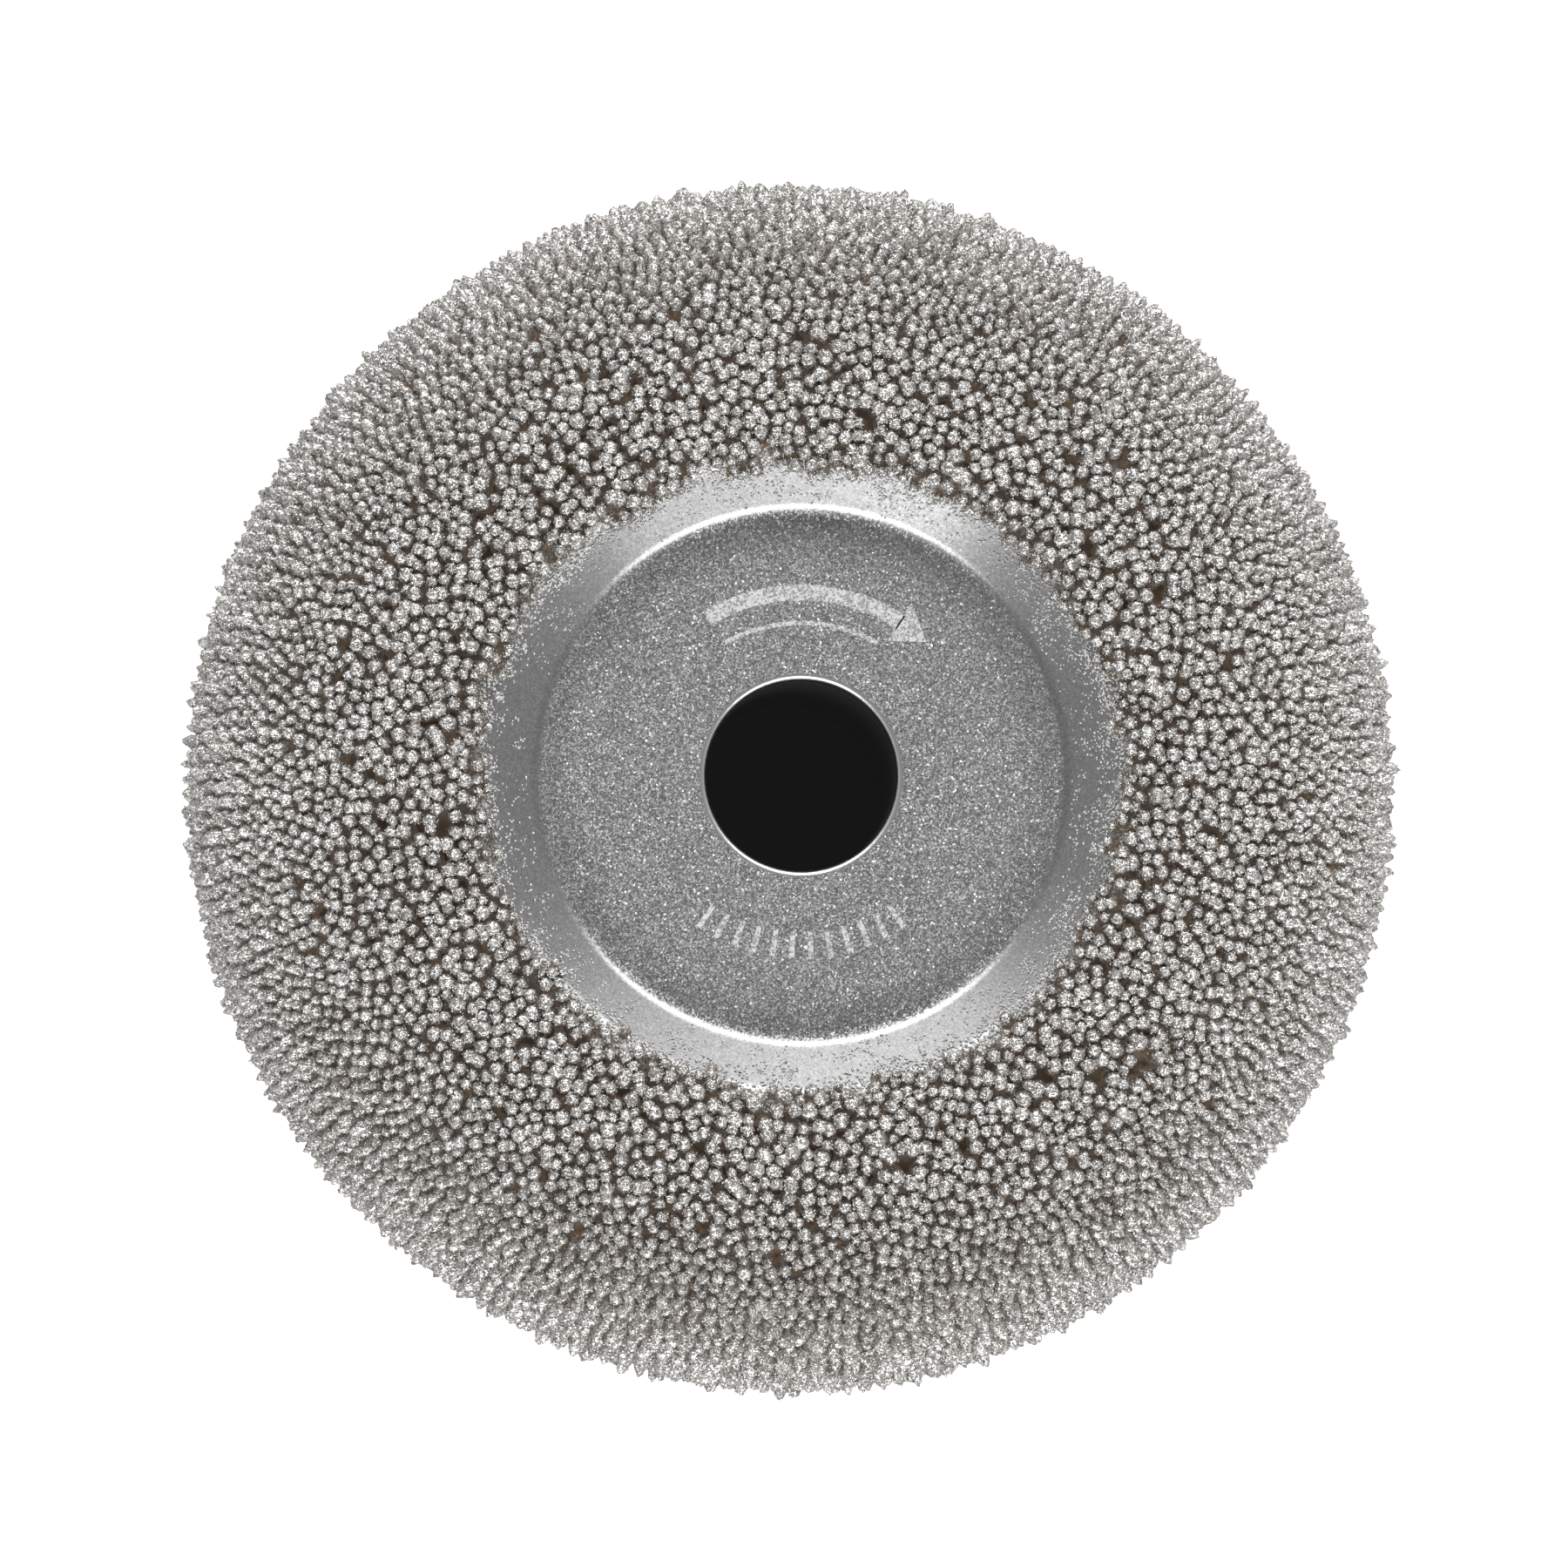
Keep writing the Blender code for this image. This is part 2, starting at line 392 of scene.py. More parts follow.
def carbide_material(name):
    """Grey crystals with painted glints, painted shade in the crevices between grains and down the
    flanks, brown and dull towards the needles' roots.
    """
    nodes = Nodes(name)
    grown = nodes.attribute("grown")
    tone = nodes.attribute("tone")
    push, from_middle = nodes.grains(CARBIDE_GRAIN)
    body = nodes.mix(tone, grey(0.44, 0.04), grey(0.72, 0.03))
    # Pale cells, pale crystals and the palest needles round the rim are painted near white:
    # painted glints and painted rim light.
    painted_glint_cells = nodes.glitter(CARBIDE_GLINT, 0.62, 0.74)
    bright = nodes.math("MAXIMUM", painted_glint_cells, nodes.ramp(tone, 0.74, 0.80))
    grain = nodes.mix(bright, body, grey(1.0, 0.02))
    # Dark rings round each grain: painted shade in the crevices between grains.
    crevice_painted_shade = nodes.ramp(from_middle, 0.46, 0.74, 0.0, 0.65)
    tip = nodes.mix(crevice_painted_shade, grain, grey(0.24, 0.10))
    # Darker lower down each needle's flank: painted shade between the needles, which leaves the
    # tips brighter.
    tip = nodes.mix(nodes.ramp(grown, 0.50, 0.84, 0.50, 1.0), grey(0.34, 0.05), tip)
    root = nodes.ramp(grown, 0.05, 0.50)
    nodes.link(nodes.mix(root, grey(0.62, 0.34), tip), nodes.shader.inputs["Base Color"])
    nodes.shader.inputs["Metallic"].default_value = 0.8
    nodes.shader.inputs["Roughness"].default_value = 0.22
    nodes.shader.inputs["Emission Color"].default_value = grey(1.0, 0.18)
    glow = nodes.ramp(grown, 0.10, 0.75, GAP_GLOW, 0.0)
    nodes.link(glow, nodes.shader.inputs["Emission Strength"])
    pushes = [(push, 0.55), (nodes.facets(CARBIDE_GLINT), 0.5)]
    nodes.link(nodes.tilted(pushes), nodes.shader.inputs["Normal"])
    return nodes.material


def frost_material(name):
    """Pale splinters of carbide that lie in the braze."""
    nodes = Nodes(name)
    tone = nodes.attribute("tone")
    nodes.link(nodes.mix(tone, grey(0.55), grey(1.0, 0.01)), nodes.shader.inputs["Base Color"])
    nodes.shader.inputs["Metallic"].default_value = 0.25
    nodes.shader.inputs["Roughness"].default_value = 0.25
    return nodes.material


def oxide_and_shade_material(name):
    """Black oxide on the bush, made darker still as painted shade in the deep bore, with a faint
    painted glow for its bounced light.
    """
    nodes = Nodes(name)
    colour = nodes.mix(nodes.noise(0.0006), grey(0.012), grey(0.02))
    nodes.link(colour, nodes.shader.inputs["Base Color"])
    nodes.shader.inputs["Roughness"].default_value = 0.75
    nodes.shader.inputs["Specular IOR Level"].default_value = 0.1
    nodes.shader.inputs["Emission Color"].default_value = grey(1.0)
    nodes.shader.inputs["Emission Strength"].default_value = BORE_GLOW
    return nodes.material


def filler_material(name):
    nodes = Nodes(name)
    colour = nodes.mix(nodes.noise(0.001), grey(0.30, 0.25), grey(0.42, 0.18))
    nodes.link(colour, nodes.shader.inputs["Base Color"])
    nodes.shader.inputs["Metallic"].default_value = 1.0
    nodes.shader.inputs["Roughness"].default_value = 0.45
    return nodes.material


def mark_material(name):
    """Laser-frosted steel: paler than the plate."""
    nodes = Nodes(name)
    colour = nodes.mix(nodes.glitter(0.00010, 0.20, 0.70), grey(0.32), grey(0.72))
    nodes.link(colour, nodes.shader.inputs["Base Color"])
    nodes.shader.inputs["Metallic"].default_value = 0.1
    nodes.shader.inputs["Roughness"].default_value = 0.45
    nodes.link(nodes.tilted([(nodes.facets(0.00008), 0.8)]), nodes.shader.inputs["Normal"])
    return nodes.material


# ---------------------------------------------------------------------------------------------
# The turned steel
# ---------------------------------------------------------------------------------------------
def flipped(section):
    """A section mirrored below the middle plane, still running the right way round."""
    return [(x, -z) for x, z in reversed(section)]


def steel_shell(name, section, node, material):
    shell = turned(name, section, SHELL_STEPS)
    shell.data.materials.append(material)
    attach(shell, "root")
    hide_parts(node)


def spacer_bush(material):
    end = HUB_HEIGHT - SHEET - SEAM_GAP
    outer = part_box("arbor_bush")[1].x
    upper_half = [
        (BORE_RADIUS, end - BUSH_EDGE),
        (BORE_RADIUS + BUSH_EDGE, end),
        (outer - BUSH_EDGE, end),
        (outer, end - BUSH_EDGE),
    ]
    section = upper_half + flipped(upper_half)
    bush = turned("spacer_bush", section, BUSH_STEPS)
    bush.data.materials.append(material)
    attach(bush, "root")
    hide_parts("arbor_bush")


# ---------------------------------------------------------------------------------------------
# Where the needles stand
# ---------------------------------------------------------------------------------------------
class Face:
    """The steel's outer face as a strip: along runs from the hub's bend over the rim to the rear
    bend, and turn goes round the wheel."""

    def __init__(self):
        points, normals = shell_line(0.0, 24, 96)
        rear, back = points[::-1] * (1, -1), normals[::-1] * (1, -1)
        self.points = np.concatenate([points, rear])
        self.normals = np.concatenate([normals, back])
        steps = np.linalg.norm(np.diff(self.points, axis=0), axis=1)
        self.along = np.concatenate([[0.0], np.cumsum(steps)])
        self.length = self.along[-1]

    def at_radius(self, radius):
        """How far along the front face has that radius."""
        front = len(self.points) // 2
        return np.interp(radius, self.points[:front, 0], self.along[:front])

    def section(self, along, height=0.0):
        """(radius, z, normal's radius, normal's z) at distances along the strip."""
        radius, z = (np.interp(along, self.along, self.points[:, k]) for k in (0, 1))
        nr, nz = (np.interp(along, self.along, self.normals[:, k]) for k in (0, 1))
        size = np.hypot(nr, nz)
        nr, nz = nr / size, nz / size
        return radius + nr * height, z + nz * height, nr, nz

    def place(self, along, turn, height=0.0):
        """(points, normals) in the wheel's frame."""
        radius, z, nr, nz = self.section(along, height)
        across, up = np.cos(turn), np.sin(turn)
        points = np.stack([radius * across, radius * up, z + MIDDLE], axis=-1)
        normals = np.stack([nr * across, nr * up, nz], axis=-1)
        return points, normals


# The needles' inner border is wavy: waves round the wheel, their height and where they start
BORDER_WAVES = (
    (7, 0.00009, 1.0),
    (11, 0.00008, 0.4),
    (19, 0.00007, 2.0),
    (31, 0.00006, 0.0),
)
# Distances from the strip's middle, in parts of its half, where the rim's order begins and is full
RIM_BEGINS, RIM_FULL = 0.62, 0.32


def grit_border(turn):
    """The radius at which the needles begin: the mask for the braze lay a little off centre."""
    oval = 0.00016 * np.cos(2 * turn)
    shift = -0.00025 * np.sin(turn) - 0.00007 * np.cos(turn) - 0.00004
    bays = sum(size * np.sin(waves * turn + start) for waves, size, start in BORDER_WAVES)
    return GRIT_START + oval + shift + bays


def rimward(face, along):
    """0 by the crest and further in, 1 round the rim."""
    from_middle = np.abs(along - face.length / 2) / (face.length / 2)
    return np.clip((RIM_BEGINS - from_middle) / (RIM_BEGINS - RIM_FULL), 0, 1)


def scatter(face, start, stop, area, height):
    """Evenly random places on the face: one for each patch of that area at that height."""
    fine = np.linspace(start, stop, 4000)
    radius, z = face.section(fine, height)[:2]
    width = np.hypot(np.diff(radius), np.diff(z))
    ring = (radius[1:] + radius[:-1]) / 2 * width * math.tau
    total = np.concatenate([[0.0], np.cumsum(ring)])
    count = int(total[-1] / area)
    order = np.arange(count)
    golden = math.pi * (3 - math.sqrt(5))
    along = np.interp((order + 0.5) / count * total[-1], total, fine)
    loose = np.interp(rimward(face, along), (0, 1), LOOSENESS)
    jitter = math.sqrt(area) * loose
    along = np.clip(along + random.normal(0, jitter, count), start, stop)
    local = face.section(along, height)[0]
    turn = order * golden + random.normal(0, jitter, count) / local
    return along, turn % math.tau


def lined_up(face, along, turn):
    """Pulls the needles round the rim towards rows that run over it from side to side."""
    pitch = math.tau / RIM_ROWS
    nearest = np.round(turn / pitch) * pitch
    return turn + (nearest - turn) * rimward(face, along) ** 2 * ROW_PULL


def spread_apart(face, along, turn, radii, height):
    """Pushes crowded needles apart until they barely touch, as they do in a poured packing."""
    points = face.place(along, turn, height)[0]
    start, stop = along.min(), along.max()
    tree = KDTree(len(points))
    for index, point in enumerate(points):
        tree.insert(point, index)
    tree.balance()
    reach = radii.max() * 2.6
    pairs = [
        (index, other)
        for index, point in enumerate(points)
        for _, other, _ in tree.find_range(point, reach)
        if other > index
    ]
    first, second = np.array(pairs).T
    want = radii[first] + radii[second]
    for _ in range(SPREAD_ROUNDS):
        points = face.place(along, turn, height)[0]
        local, _, nr, nz = face.section(along, height)
        gap = points[second] - points[first]
        distance = np.maximum(np.linalg.norm(gap, axis=1), 1e-7)
        push = np.clip(want - distance, 0, None) * 0.5
        step = gap / distance[:, None] * push[:, None] * 0.9
        move = np.zeros_like(points)
        np.add.at(move, first, -step)
        np.add.at(move, second, step)
        round_axis = np.stack([-np.sin(turn), np.cos(turn), np.zeros_like(turn)], axis=-1)
        down = np.stack([nz * np.cos(turn), nz * np.sin(turn), -nr], axis=-1)
        along = np.clip(along + (move * down).sum(1), start, stop)
        turn = turn + (move * round_axis).sum(1) / local
    return along, turn % math.tau


# ---------------------------------------------------------------------------------------------
# Crystals: the small grains on the needles and on the wall
# ---------------------------------------------------------------------------------------------
CRYSTAL_CORNERS = np.array(
    [(1, 0, 0), (0, 1, 0), (-1, 0, 0), (0, -1, 0), (0, 0, 1), (0, 0, -1)], float
)
CRYSTAL_FACES = np.array(
    [(0, 1, 4), (1, 2, 4), (2, 3, 4), (3, 0, 4), (1, 0, 5), (2, 1, 5), (3, 2, 5), (0, 3, 5)]
)


def crystals(centres, sizes):
    """(points, faces) of one randomly turned, uneven double pyramid at each centre."""
    count = len(centres)
    turn = random.normal(0, 1, (count, 4))
    turn /= np.linalg.norm(turn, axis=1, keepdims=True)
    w, axis = turn[:, None, :1], turn[:, None, 1:]
    uneven = random.uniform(0.75, 1.3, (count, len(CRYSTAL_CORNERS), 1))
    corners = CRYSTAL_CORNERS[None] * uneven
    across = np.cross(axis, corners)
    corners = corners + 2 * w * across + 2 * np.cross(axis, across)
    points = centres[:, None] + corners * sizes[:, None, None]
    shift = np.arange(count)[:, None, None] * len(CRYSTAL_CORNERS)
    return points.reshape(-1, 3), (CRYSTAL_FACES[None] + shift).reshape(-1, 3)


# ---------------------------------------------------------------------------------------------
# The needles themselves
# ---------------------------------------------------------------------------------------------
# Height along a needle, and its radius there for a round-ended and for a pointed one
NEEDLE_LEVELS = np.array([-0.06, 0.24, 0.48, 0.66, 0.79, 0.89, 0.96])
ROUND_END = np.array([1.05, 0.96, 1.00, 1.00, 0.92, 0.72, 0.40])
POINTED_END = np.array([1.12, 1.02, 0.92, 0.78, 0.60, 0.42, 0.22])


def needle_mesh(name, feet, axes, lengths, radii, sharpness, tones_and_rim_light):
    """One mesh of many needles: stacks of lumpy rings, closed at both ends."""
    count = len(feet)
    levels = len(NEEDLE_LEVELS)
    sides = NEEDLE_SIDES
    helper = np.where(np.abs(axes[:, 2:3]) < 0.8, (0.0, 0.0, 1.0), (1.0, 0.0, 0.0))
    east = np.cross(axes, helper)
    east /= np.linalg.norm(east, axis=1, keepdims=True)
    north = np.cross(axes, east)

    blend = sharpness[:, None]
    girth = ROUND_END * (1 - blend) + POINTED_END * blend
    lumps = random.normal(1.0, 0.085, (count, levels, sides))
    rise = random.normal(0.0, 0.028, (count, levels, sides))
    spin = random.uniform(0, math.tau, (count, 1, 1))
    angles = np.arange(sides) / sides * math.tau + spin
    angles = angles + np.arange(levels)[:, None] * math.pi / sides
    reach = girth[:, :, None] * lumps * radii[:, None, None]
    height = (NEEDLE_LEVELS[:, None] + rise) * lengths[:, None, None]
    body = (
        feet[:, None, None]
        + east[:, None, None] * (np.cos(angles) * reach)[..., None]
        + north[:, None, None] * (np.sin(angles) * reach)[..., None]
        + axes[:, None, None] * height[..., None]
    ).reshape(count, -1, 3)
    foot = feet + axes * (lengths * NEEDLE_LEVELS[0])[:, None]
    tip = feet + axes * lengths[:, None]
    points = np.concatenate([body, foot[:, None], tip[:, None]], axis=1)

    ring, side = np.meshgrid(np.arange(levels - 1), np.arange(sides), indexing="ij")
    a = ring * sides + side
    b = ring * sides + (side + 1) % sides
    quads = np.stack([a, b, b + sides, a + sides], axis=-1).reshape(-1, 4)
    around = np.arange(sides)
    beyond = (around + 1) % sides
    low, high = levels * sides, levels * sides + 1
    last = (levels - 1) * sides
    bottom = np.stack([beyond, around, np.full(sides, low)], axis=-1)
    top = np.stack([last + around, last + beyond, np.full(sides, high)], axis=-1)
    caps = np.concatenate([bottom, top])
    per_needle = levels * sides + 2
    shift = np.arange(count)[:, None, None] * per_needle
    quads = (quads[None] + shift).reshape(-1, 4)
    caps = (caps[None] + shift).reshape(-1, 3)

    # Crystals sit on the upper part of the body, most of them near the end.
    at = 1 - random.beta(1.0, 2.6, (count, CRYSTALS)) * 0.75
    way = random.uniform(0, math.tau, (count, CRYSTALS))
    level_girth = np.append(NEEDLE_LEVELS, 1.0)
    width = np.interp(at, level_girth, np.append(ROUND_END, 0.0)) * (1 - blend)
    width += np.interp(at, level_girth, np.append(POINTED_END, 0.0)) * blend
    width *= radii[:, None]
    seats = (
        feet[:, None]
        + east[:, None] * (np.cos(way) * width)[..., None]
        + north[:, None] * (np.sin(way) * width)[..., None]
        + axes[:, None] * (at * lengths[:, None] - CRYSTAL_SINK)[..., None]
    )
    sizes = random.uniform(*CRYSTAL_SIZE, count * CRYSTALS)
    grains, grain_faces = crystals(seats.reshape(-1, 3), sizes)
    corners = len(CRYSTAL_CORNERS)

    body_points = points.reshape(-1, 3)
    piece = add_mesh(
        name,
        np.concatenate([body_points, grains]),
        [quads, np.concatenate([caps, grain_faces + len(body_points)])],
    )
    grown = np.tile(np.concatenate([np.repeat(NEEDLE_LEVELS, sides), [0.0, 1.0]]), count)
    add_value(piece, "grown", np.concatenate([grown, np.repeat(at.ravel(), corners)]))
    shades = random.uniform(0, 1, count * CRYSTALS)
    add_value(
        piece, "tone", np.concatenate([np.repeat(tones_and_rim_light, per_needle), np.repeat(shades, corners)])
    )
    return piece


def grow_needles(face, material):
    middle = GRIT_HEIGHT * 0.75
    begin = face.at_radius(GRIT_START - 0.0007)
    along, turn = scatter(face, begin, face.length - begin, NEEDLE_AREA, middle)
    count = len(along)
    girth = np.clip(random.normal(1.0, RADIUS_SPREAD, count), 0.72, 1.28)
    radii = NEEDLE_RADIUS * girth
    along, turn = spread_apart(face, along, turn, radii * CROWDING, middle)
    turn = lined_up(face, along, turn)

    # Near each border the needles are shorter and thinner, and they stop at a ragged line.
    border = np.minimum(along, face.length - along) - face.at_radius(grit_border(turn))
    border = border - random.uniform(*BORDER_JITTER, count)
    full = np.clip(border / BORDER_TAPER, 0, 1)
    kept = (border > 0.0) & (random.uniform(0, 1, count) > MISSING)
    feet, normals = face.place(along, turn)
    rim = rimward(face, along)
    lean = np.interp(rim, (0, 1), LEAN)
    axes = normals + random.normal(0, 1, (count, 3)) * lean[:, None]
    axes /= np.linalg.norm(axes, axis=1, keepdims=True)
    # By the crest they end nearly level. Round the rim some tall ones stand out as teeth.
    shortest, longest = LEVEL_HEIGHT
    level = longest - (longest - shortest) * random.uniform(0, 1, count)
    tall = np.clip((random.uniform(0, 1, count) - 1) / TALL_SHARE + 1, 0, 1)
    toothed = LOW_TOOTH + TOOTH_RISE * tall + random.normal(0, TOOTH_SPREAD, count)
    lengths = GRIT_HEIGHT * (level * (1 - rim) + toothed * rim)
    lengths = lengths * (SHORT_LENGTH + (1 - SHORT_LENGTH) * full)
    radii = radii * (SHORT_RADIUS + (1 - SHORT_RADIUS) * full)
    sharpness = np.clip(0.25 + 0.75 * rim + random.normal(0, 0.18, count), 0, 1)
    # Round the rim the needles are painted lighter: painted light for the rim's brighter lighting,
    # on top of a random tone.
    tones_and_rim_light = random.uniform(0, 0.7, count) + 0.30 * rim

    is_front = along < face.length / 2
    sector = (turn / math.tau * SECTORS).astype(int) % SECTORS
    for side, on_side in (("front", is_front), ("rear", ~is_front)):
        for number in range(SECTORS):
            pick = kept & on_side & (sector == number)
            piece = needle_mesh(
                f"{side}_needles_{number}",
                feet[pick],
                axes[pick],
                lengths[pick],
                radii[pick],
                sharpness[pick],
                tones_and_rim_light[pick],
            )
            piece.data.materials.append(material)
            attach(piece, "root")
            if number == 0:
                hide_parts(f"{side}_grit_coat")


# ---------------------------------------------------------------------------------------------
# Loose grains on the wall
# ---------------------------------------------------------------------------------------------
def wall_grains(face, name, material, upward):
    """Small splinters, in drifts on the wall and crowded where the needles begin."""
    start = face.at_radius(HUB_CORNER + 0.0003)
    loose = DRIFTS * DRIFT_SPLINTERS
    # Drifts on the wall, more of them on one side, and a crowd along the needles' border
    drift_turn = random.uniform(0, math.tau, DRIFTS)
    drift_turn[:SIDE_DRIFTS] = random.normal(0, 0.5, SIDE_DRIFTS)
    drift_turn = np.repeat(drift_turn, DRIFT_SPLINTERS)
    drift_place = np.repeat(random.beta(1.6, 1.0, DRIFTS), DRIFT_SPLINTERS)
    spread = np.repeat(random.uniform(0.0001, 0.0006, DRIFTS), DRIFT_SPLINTERS)
    wall_radius = HUB_CORNER + SLOPE_RUN / 2
    drift_turn += random.normal(0, 1, loose) * spread / wall_radius
    turn = np.concatenate([drift_turn, random.uniform(0, math.tau, BORDER_SPLINTERS)])
    border = face.at_radius(grit_border(turn))
    thin = start + (border - start)[:loose] * drift_place
    thin += random.normal(0, 1, loose) * spread
    thick = border[loose:] + 0.0004 + random.normal(0, 0.0005, BORDER_SPLINTERS)
    place = np.clip(np.concatenate([thin, thick]), start, border + 0.0020)
    kept = place > start
    place, turn, border = place[kept], turn[kept], border[kept]
    count = len(place)
    closeness = np.clip((place - start) / (border - start), 0, 1)
    size = random.uniform(*SPLINTER_SIZE, count)
    size += 0.00005 * closeness**3 * random.uniform(0, 1, count)
    feet, normals = face.place(place, turn)
    points, faces = crystals(feet + normals * (size * 0.4)[:, None], size)
    if not upward:
        points[:, 2] = 2 * MIDDLE - points[:, 2]
        faces = faces[:, ::-1]
    piece = add_mesh(name, points, [faces], smooth=False)
    corners = len(CRYSTAL_CORNERS)
    add_value(piece, "tone", np.repeat(random.uniform(0, 1, count), corners))
    piece.data.materials.append(material)
    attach(piece, "root")


# ---------------------------------------------------------------------------------------------
# Plain etched marks on the hub plate
# ---------------------------------------------------------------------------------------------
MARK_HEIGHT = 0.000012
MARK_SINK = 0.00002
MARK_ROUGHNESS = 0.00003

# The arrow's shaft and the line beside it: radius, half width and, in degrees, start and end
ARROW = (0.0096, 0.00042, 57, 121)
ARROW_LINE = (0.0080, 0.00012, 60, 120)
ARROW_STEPS = 160
HEAD_HALF_WIDTH = 0.0012
HEAD_LENGTH = 10  # degrees

# The row of ticks, the same way
TICK_RADIUS, TICK_REACH, TICK_HALF_TURN = 0.0089, 0.0007, 0.9
TICKS_START, TICKS_END, TICK_COUNT = 236, 304, 12


def plate_strip(name, outlines, material):
    """Thin raised shapes on the hub plate, each an outline of (x, y) points, counter-clockwise."""
    base = MIDDLE + HUB_HEIGHT - MARK_SINK
    top = MIDDLE + HUB_HEIGHT + MARK_HEIGHT
    points, faces = [], []
    for outline in outlines:
        start = len(points)
        count = len(outline)
        points += [(x, y, base) for x, y in outline] + [(x, y, top) for x, y in outline]
        low = [start + k for k in range(count)]
        high = [start + count + k for k in range(count)]
        faces.append(low[::-1])
        faces.append(high)
        faces += [
            [low[k], low[(k + 1) % count], high[(k + 1) % count], high[k]] for k in range(count)
        ]
    mesh = bpy.data.meshes.new(name)
    mesh.from_pydata(points, [], faces)
    mesh.materials.append(material)
    piece = bpy.data.objects.new(name, mesh)
    bpy.context.scene.collection.objects.link(piece)
    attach(piece, "root")


def ring_piece(radius, half_width, start, end, steps):
    """The outline of a stretch of a ring, in degrees, with slightly rough edges."""
    angles = np.radians(np.linspace(start, end, steps + 1))
    outline = []
    for way, side in ((angles, 1), (angles[::-1], -1)):
        reach = radius + side * half_width + random.normal(0, MARK_ROUGHNESS, steps + 1)
        outline += list(zip(reach * np.cos(way), reach * np.sin(way)))
    return outline


def direction_arrow(material):
    """A curved arrow above the bore, for the direction of turning, with a thin line under it."""
    shaft = ring_piece(*ARROW, ARROW_STEPS)
    line = ring_piece(*ARROW_LINE, ARROW_STEPS)
    radius, _, start, _ = ARROW
    tip = (radius, math.radians(start - HEAD_LENGTH))
    outer_wing = (radius + HEAD_HALF_WIDTH, math.radians(start + 0.5))
    inner_wing = (radius - HEAD_HALF_WIDTH, math.radians(start + 0.5))
    head = [
        (reach * math.cos(way), reach * math.sin(way))
        for reach, way in (tip, outer_wing, inner_wing)
    ]
    plate_strip("direction_arrow", [shaft, head, line], material)


def tick_scale(material):
    """A row of plain ticks on an arc below the bore."""
    ticks = [
        ring_piece(TICK_RADIUS, TICK_REACH, middle - TICK_HALF_TURN, middle + TICK_HALF_TURN, 4)
        for middle in np.linspace(TICKS_START, TICKS_END, TICK_COUNT)
    ]
    plate_strip("tick_scale", ticks, material)


# ---------------------------------------------------------------------------------------------
# Floor, light and camera
# ---------------------------------------------------------------------------------------------
def floor_material():
    """A pale sweep. It glows only towards the camera, so that it doesn't light the wheel."""
    nodes = Nodes("pale_floor")
    nodes.shader.inputs["Base Color"].default_value = grey(0.60)
    nodes.shader.inputs["Roughness"].default_value = 0.9
    nodes.shader.inputs["Emission Color"].default_value = grey(1.0)
    seen = nodes.add("ShaderNodeLightPath").outputs["Is Camera Ray"]
    nodes.link(nodes.math("MULTIPLY", seen, 0.85), nodes.shader.inputs["Emission Strength"])
    return nodes.material


def painted_shade_material():
    # Near black with a faint glow: painted shade for the floor under the bore, and painted light
    # for its bounces.
    nodes = Nodes("painted_shade_black")
    nodes.shader.inputs["Base Color"].default_value = grey(0.004)
    nodes.shader.inputs["Roughness"].default_value = 1.0
    nodes.shader.inputs["Specular IOR Level"].default_value = 0.0
    nodes.shader.inputs["Emission Color"].default_value = grey(1.0)
    nodes.shader.inputs["Emission Strength"].default_value = 0.008
    return nodes.material


def flat_disc(name, vertices, radius, height, material):
    bpy.ops.mesh.primitive_circle_add(vertices=vertices, radius=radius, fill_type="NGON")
    disc = bpy.context.object
    disc.name = name
    disc.location.z = CAD_LOW.z + height
    disc.data.materials.append(material)
    return disc


def add_floor():
    """The floor, and a black patch on it under the bore: painted shade, with a faint painted glow,
    that keeps the bore dark.
    """
    floor = flat_disc("floor", 96, 2.5, -0.0001, floor_material())
    patch = flat_disc("painted_shade_under_bore", 64, 0.0085, 0.0001, painted_shade_material())


# How bright the studio is overhead, and low down at the sides, towards -Y and towards +Y
ZENITH_LIGHT, SIDE_LIGHT, NEAR_LIGHT, FAR_LIGHT = 0.22, 0.53, 1.62, 2.15
OVERHEAD_FROM = 0.25  # rise at which the sides begin to fade into the light overhead
ENDWARD_POWER = 4.0  # how narrowly the two ends' light lies about the Y axis

SOFTBOX_SIZE = (0.71, 0.20)
SOFTBOX_DISTANCE = 0.55
SOFTBOX_RISE = math.radians(40)


def softbox(name, azimuth, power):
    """A rectangular area light that faces the wheel. Azimuth 90 is the picture's 12 o'clock."""
    data = bpy.data.lights.new(name, "AREA")
    data.shape = "RECTANGLE"
    data.size, data.size_y = SOFTBOX_SIZE
    data.energy = power
    lamp = bpy.data.objects.new(name, data)
    turn, level = math.radians(azimuth), math.cos(SOFTBOX_RISE)
    away = Vector((math.cos(turn) * level, math.sin(turn) * level, math.sin(SOFTBOX_RISE)))
    lamp.location = Vector((0, 0, MIDDLE)) + away * SOFTBOX_DISTANCE
    lamp.rotation_euler = (-away).to_track_quat("-Z", "Y").to_euler()
    lamp.visible_camera = False
    bpy.context.scene.collection.objects.link(lamp)


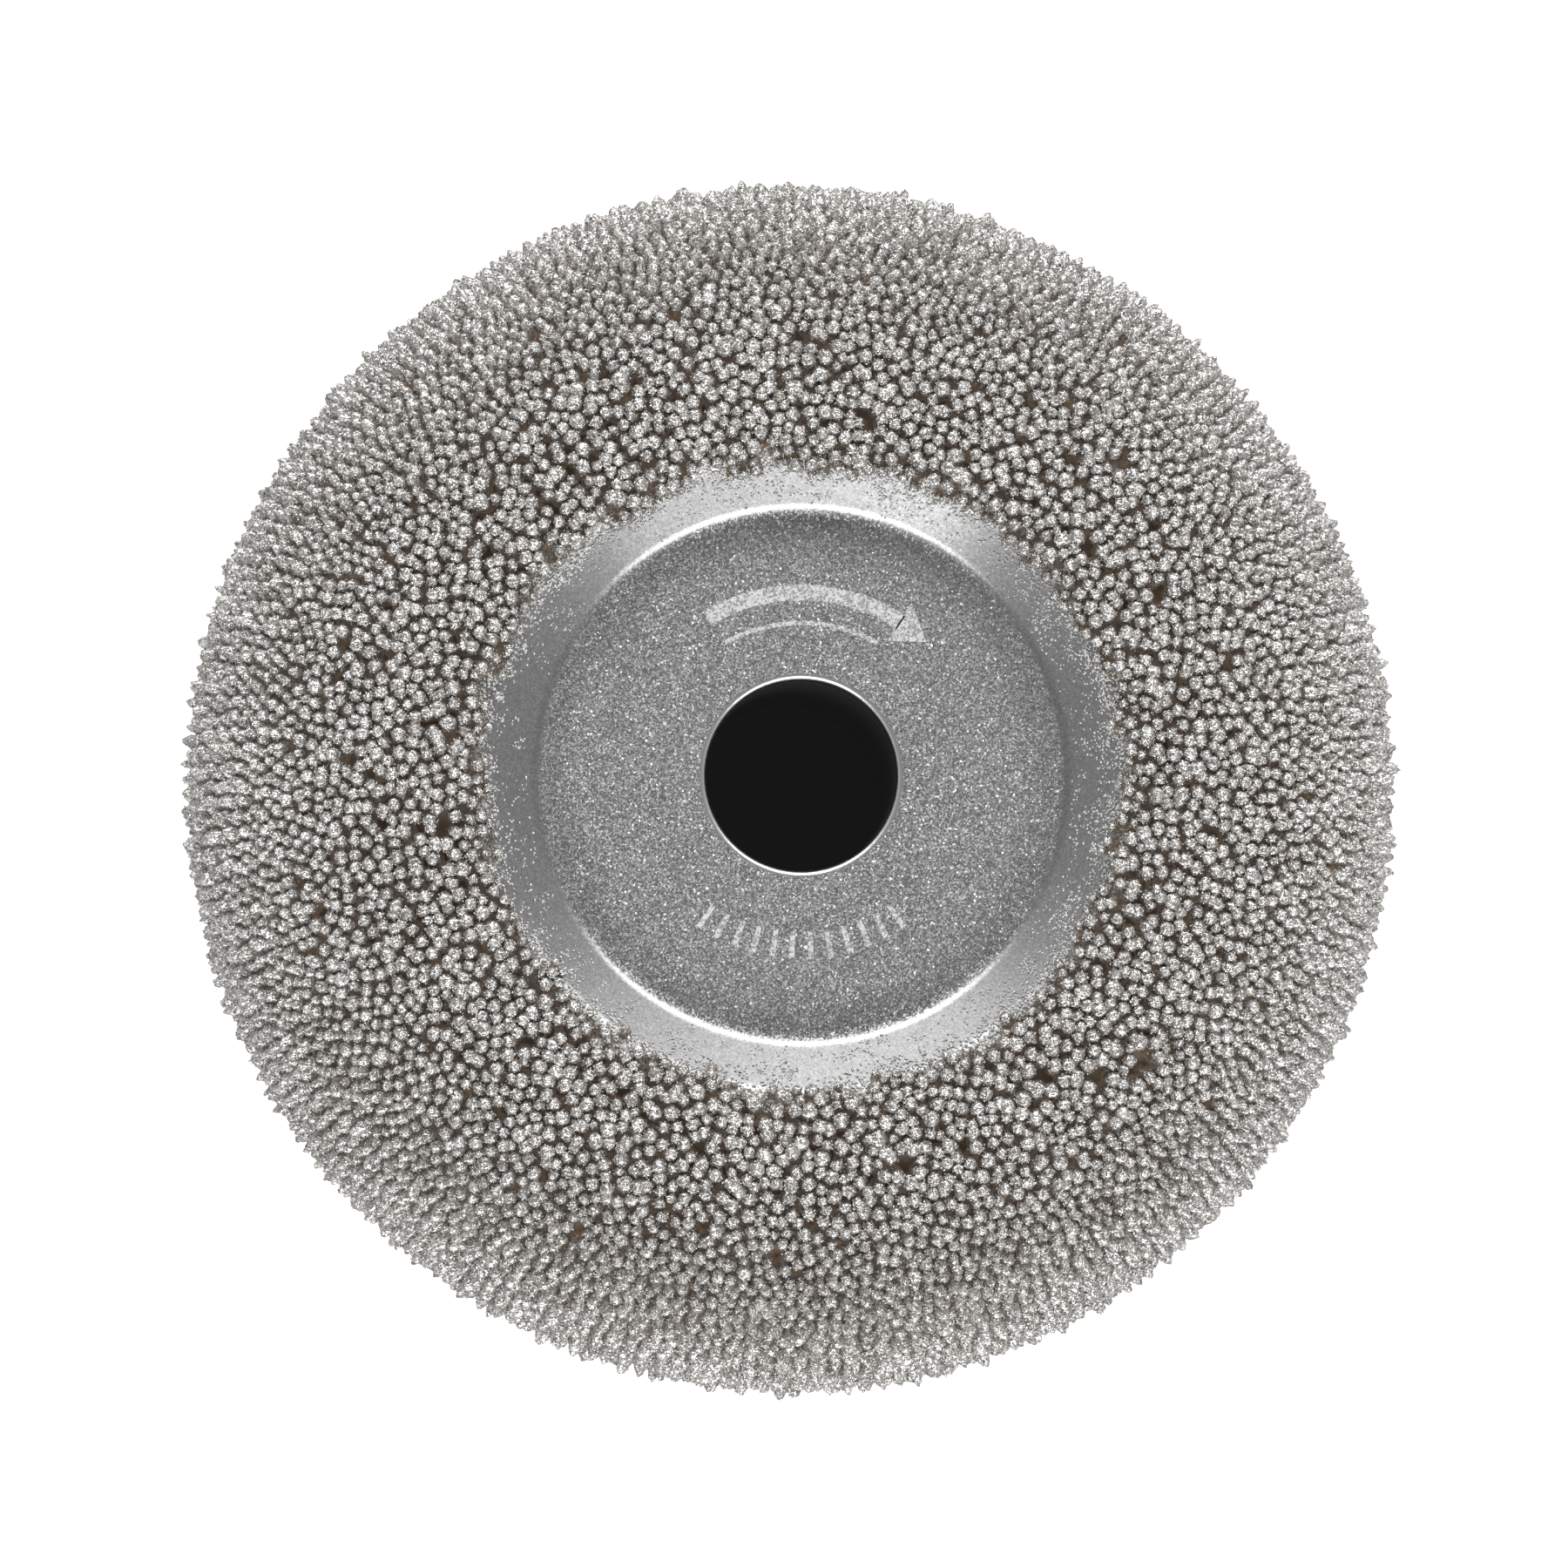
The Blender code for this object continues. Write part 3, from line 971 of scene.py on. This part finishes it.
def studio_glow(tree):
    """How bright the studio is in each direction."""
    direction = tree.nodes.new("ShaderNodeTexCoord").outputs["Generated"]
    split = tree.nodes.new("ShaderNodeSeparateXYZ")
    endward = tree.nodes.new("ShaderNodeMath")
    endward.operation = "POWER"
    endward.inputs[1].default_value = ENDWARD_POWER
    low_down = tree.nodes.new("ShaderNodeMapRange")
    glow = tree.nodes.new("ShaderNodeMapRange")
    low_down.inputs["To Min"].default_value = SIDE_LIGHT
    farther = tree.nodes.new("ShaderNodeMapRange")
    farther.inputs["From Min"].default_value = -1.0
    farther.inputs["To Min"].default_value = NEAR_LIGHT
    farther.inputs["To Max"].default_value = FAR_LIGHT
    glow.inputs["From Min"].default_value = OVERHEAD_FROM
    glow.inputs["To Max"].default_value = ZENITH_LIGHT
    tree.links.new(direction, split.inputs[0])
    tree.links.new(split.outputs["Y"], endward.inputs[0])
    tree.links.new(split.outputs["Y"], farther.inputs["Value"])
    tree.links.new(farther.outputs[0], low_down.inputs["To Max"])
    tree.links.new(endward.outputs[0], low_down.inputs["Value"])
    tree.links.new(split.outputs["Z"], glow.inputs["Value"])
    tree.links.new(low_down.outputs[0], glow.inputs["To Min"])
    return glow.outputs[0]


def add_light():
    softbox("softbox_top", 85, 2.05)
    softbox("softbox_bottom", -84, 1.9)
    world = bpy.data.worlds.new("studio")
    world.use_nodes = True
    bpy.context.scene.world = world
    tree = world.node_tree
    dim = tree.nodes["Background"]
    white = tree.nodes.new("ShaderNodeBackground")
    white.inputs["Color"].default_value = grey(1.0)
    dim.inputs["Color"].default_value = grey(1.0)
    path = tree.nodes.new("ShaderNodeLightPath")
    pick = tree.nodes.new("ShaderNodeMixShader")
    tree.links.new(studio_glow(tree), dim.inputs["Strength"])
    tree.links.new(path.outputs["Is Camera Ray"], pick.inputs[0])
    tree.links.new(dim.outputs[0], pick.inputs[1])
    tree.links.new(white.outputs[0], pick.inputs[2])
    tree.links.new(pick.outputs[0], tree.nodes["World Output"].inputs["Surface"])


SENSOR_WIDTH = 36  # in millimetres
CAMERA_DISTANCE = 0.5
CAMERA_LEAN = math.radians(4.95)  # from the wheel's axis
CAMERA_TURN = math.radians(229.5)  # the side it leans to, from +X
FRAME_WIDTH = 0.0836  # what the picture spans at the wheel's middle plane
AIM_RIGHT, AIM_UP = -0.00037, 0.00018  # the picture's centre, from the wheel's


def add_camera():
    data = bpy.data.cameras.new("camera")
    data.sensor_width = SENSOR_WIDTH
    data.lens = SENSOR_WIDTH * CAMERA_DISTANCE / FRAME_WIDTH
    data.clip_start = 0.05
    data.clip_end = 20
    camera = bpy.data.objects.new("camera", data)
    side, rise = math.sin(CAMERA_LEAN), math.cos(CAMERA_LEAN)
    away = Vector((side * math.cos(CAMERA_TURN), side * math.sin(CAMERA_TURN), rise))
    up = (Vector((0, 1, 0)) - away * away.y).normalized()
    right = up.cross(away)
    aim = Vector((0, 0, MIDDLE)) + right * AIM_RIGHT + up * AIM_UP
    camera.location = aim + away * CAMERA_DISTANCE
    camera.rotation_mode = "QUATERNION"
    camera.rotation_quaternion = Matrix((right, up, away)).transposed().to_quaternion()
    bpy.context.scene.collection.objects.link(camera)
    bpy.context.scene.camera = camera


# ---------------------------------------------------------------------------------------------
# Putting it together
# ---------------------------------------------------------------------------------------------
steel = steel_material("pressed_steel")
carbide = carbide_material("brazed_carbide")
etched = mark_material("laser_frosting")
steel_shell("steel_shell_front", shell_section(), "front_shell", steel)
steel_shell("steel_shell_rear", flipped(shell_section()), "rear_shell", steel)
spacer_bush(oxide_and_shade_material("black_oxide_and_painted_shade"))
frame["nodes"]["rim_joining_ring"].data.materials.clear()
frame["nodes"]["rim_joining_ring"].data.materials.append(filler_material("brazing_filler"))
outer_face = Face()
grow_needles(outer_face, carbide)
frost = frost_material("carbide_splinters")
wall_grains(outer_face, "front_wall_grains", frost, True)
wall_grains(outer_face, "rear_wall_grains", frost, False)
direction_arrow(etched)
tick_scale(etched)
add_floor()
add_light()
add_camera()
bpy.context.scene.view_settings.view_transform = "Standard"
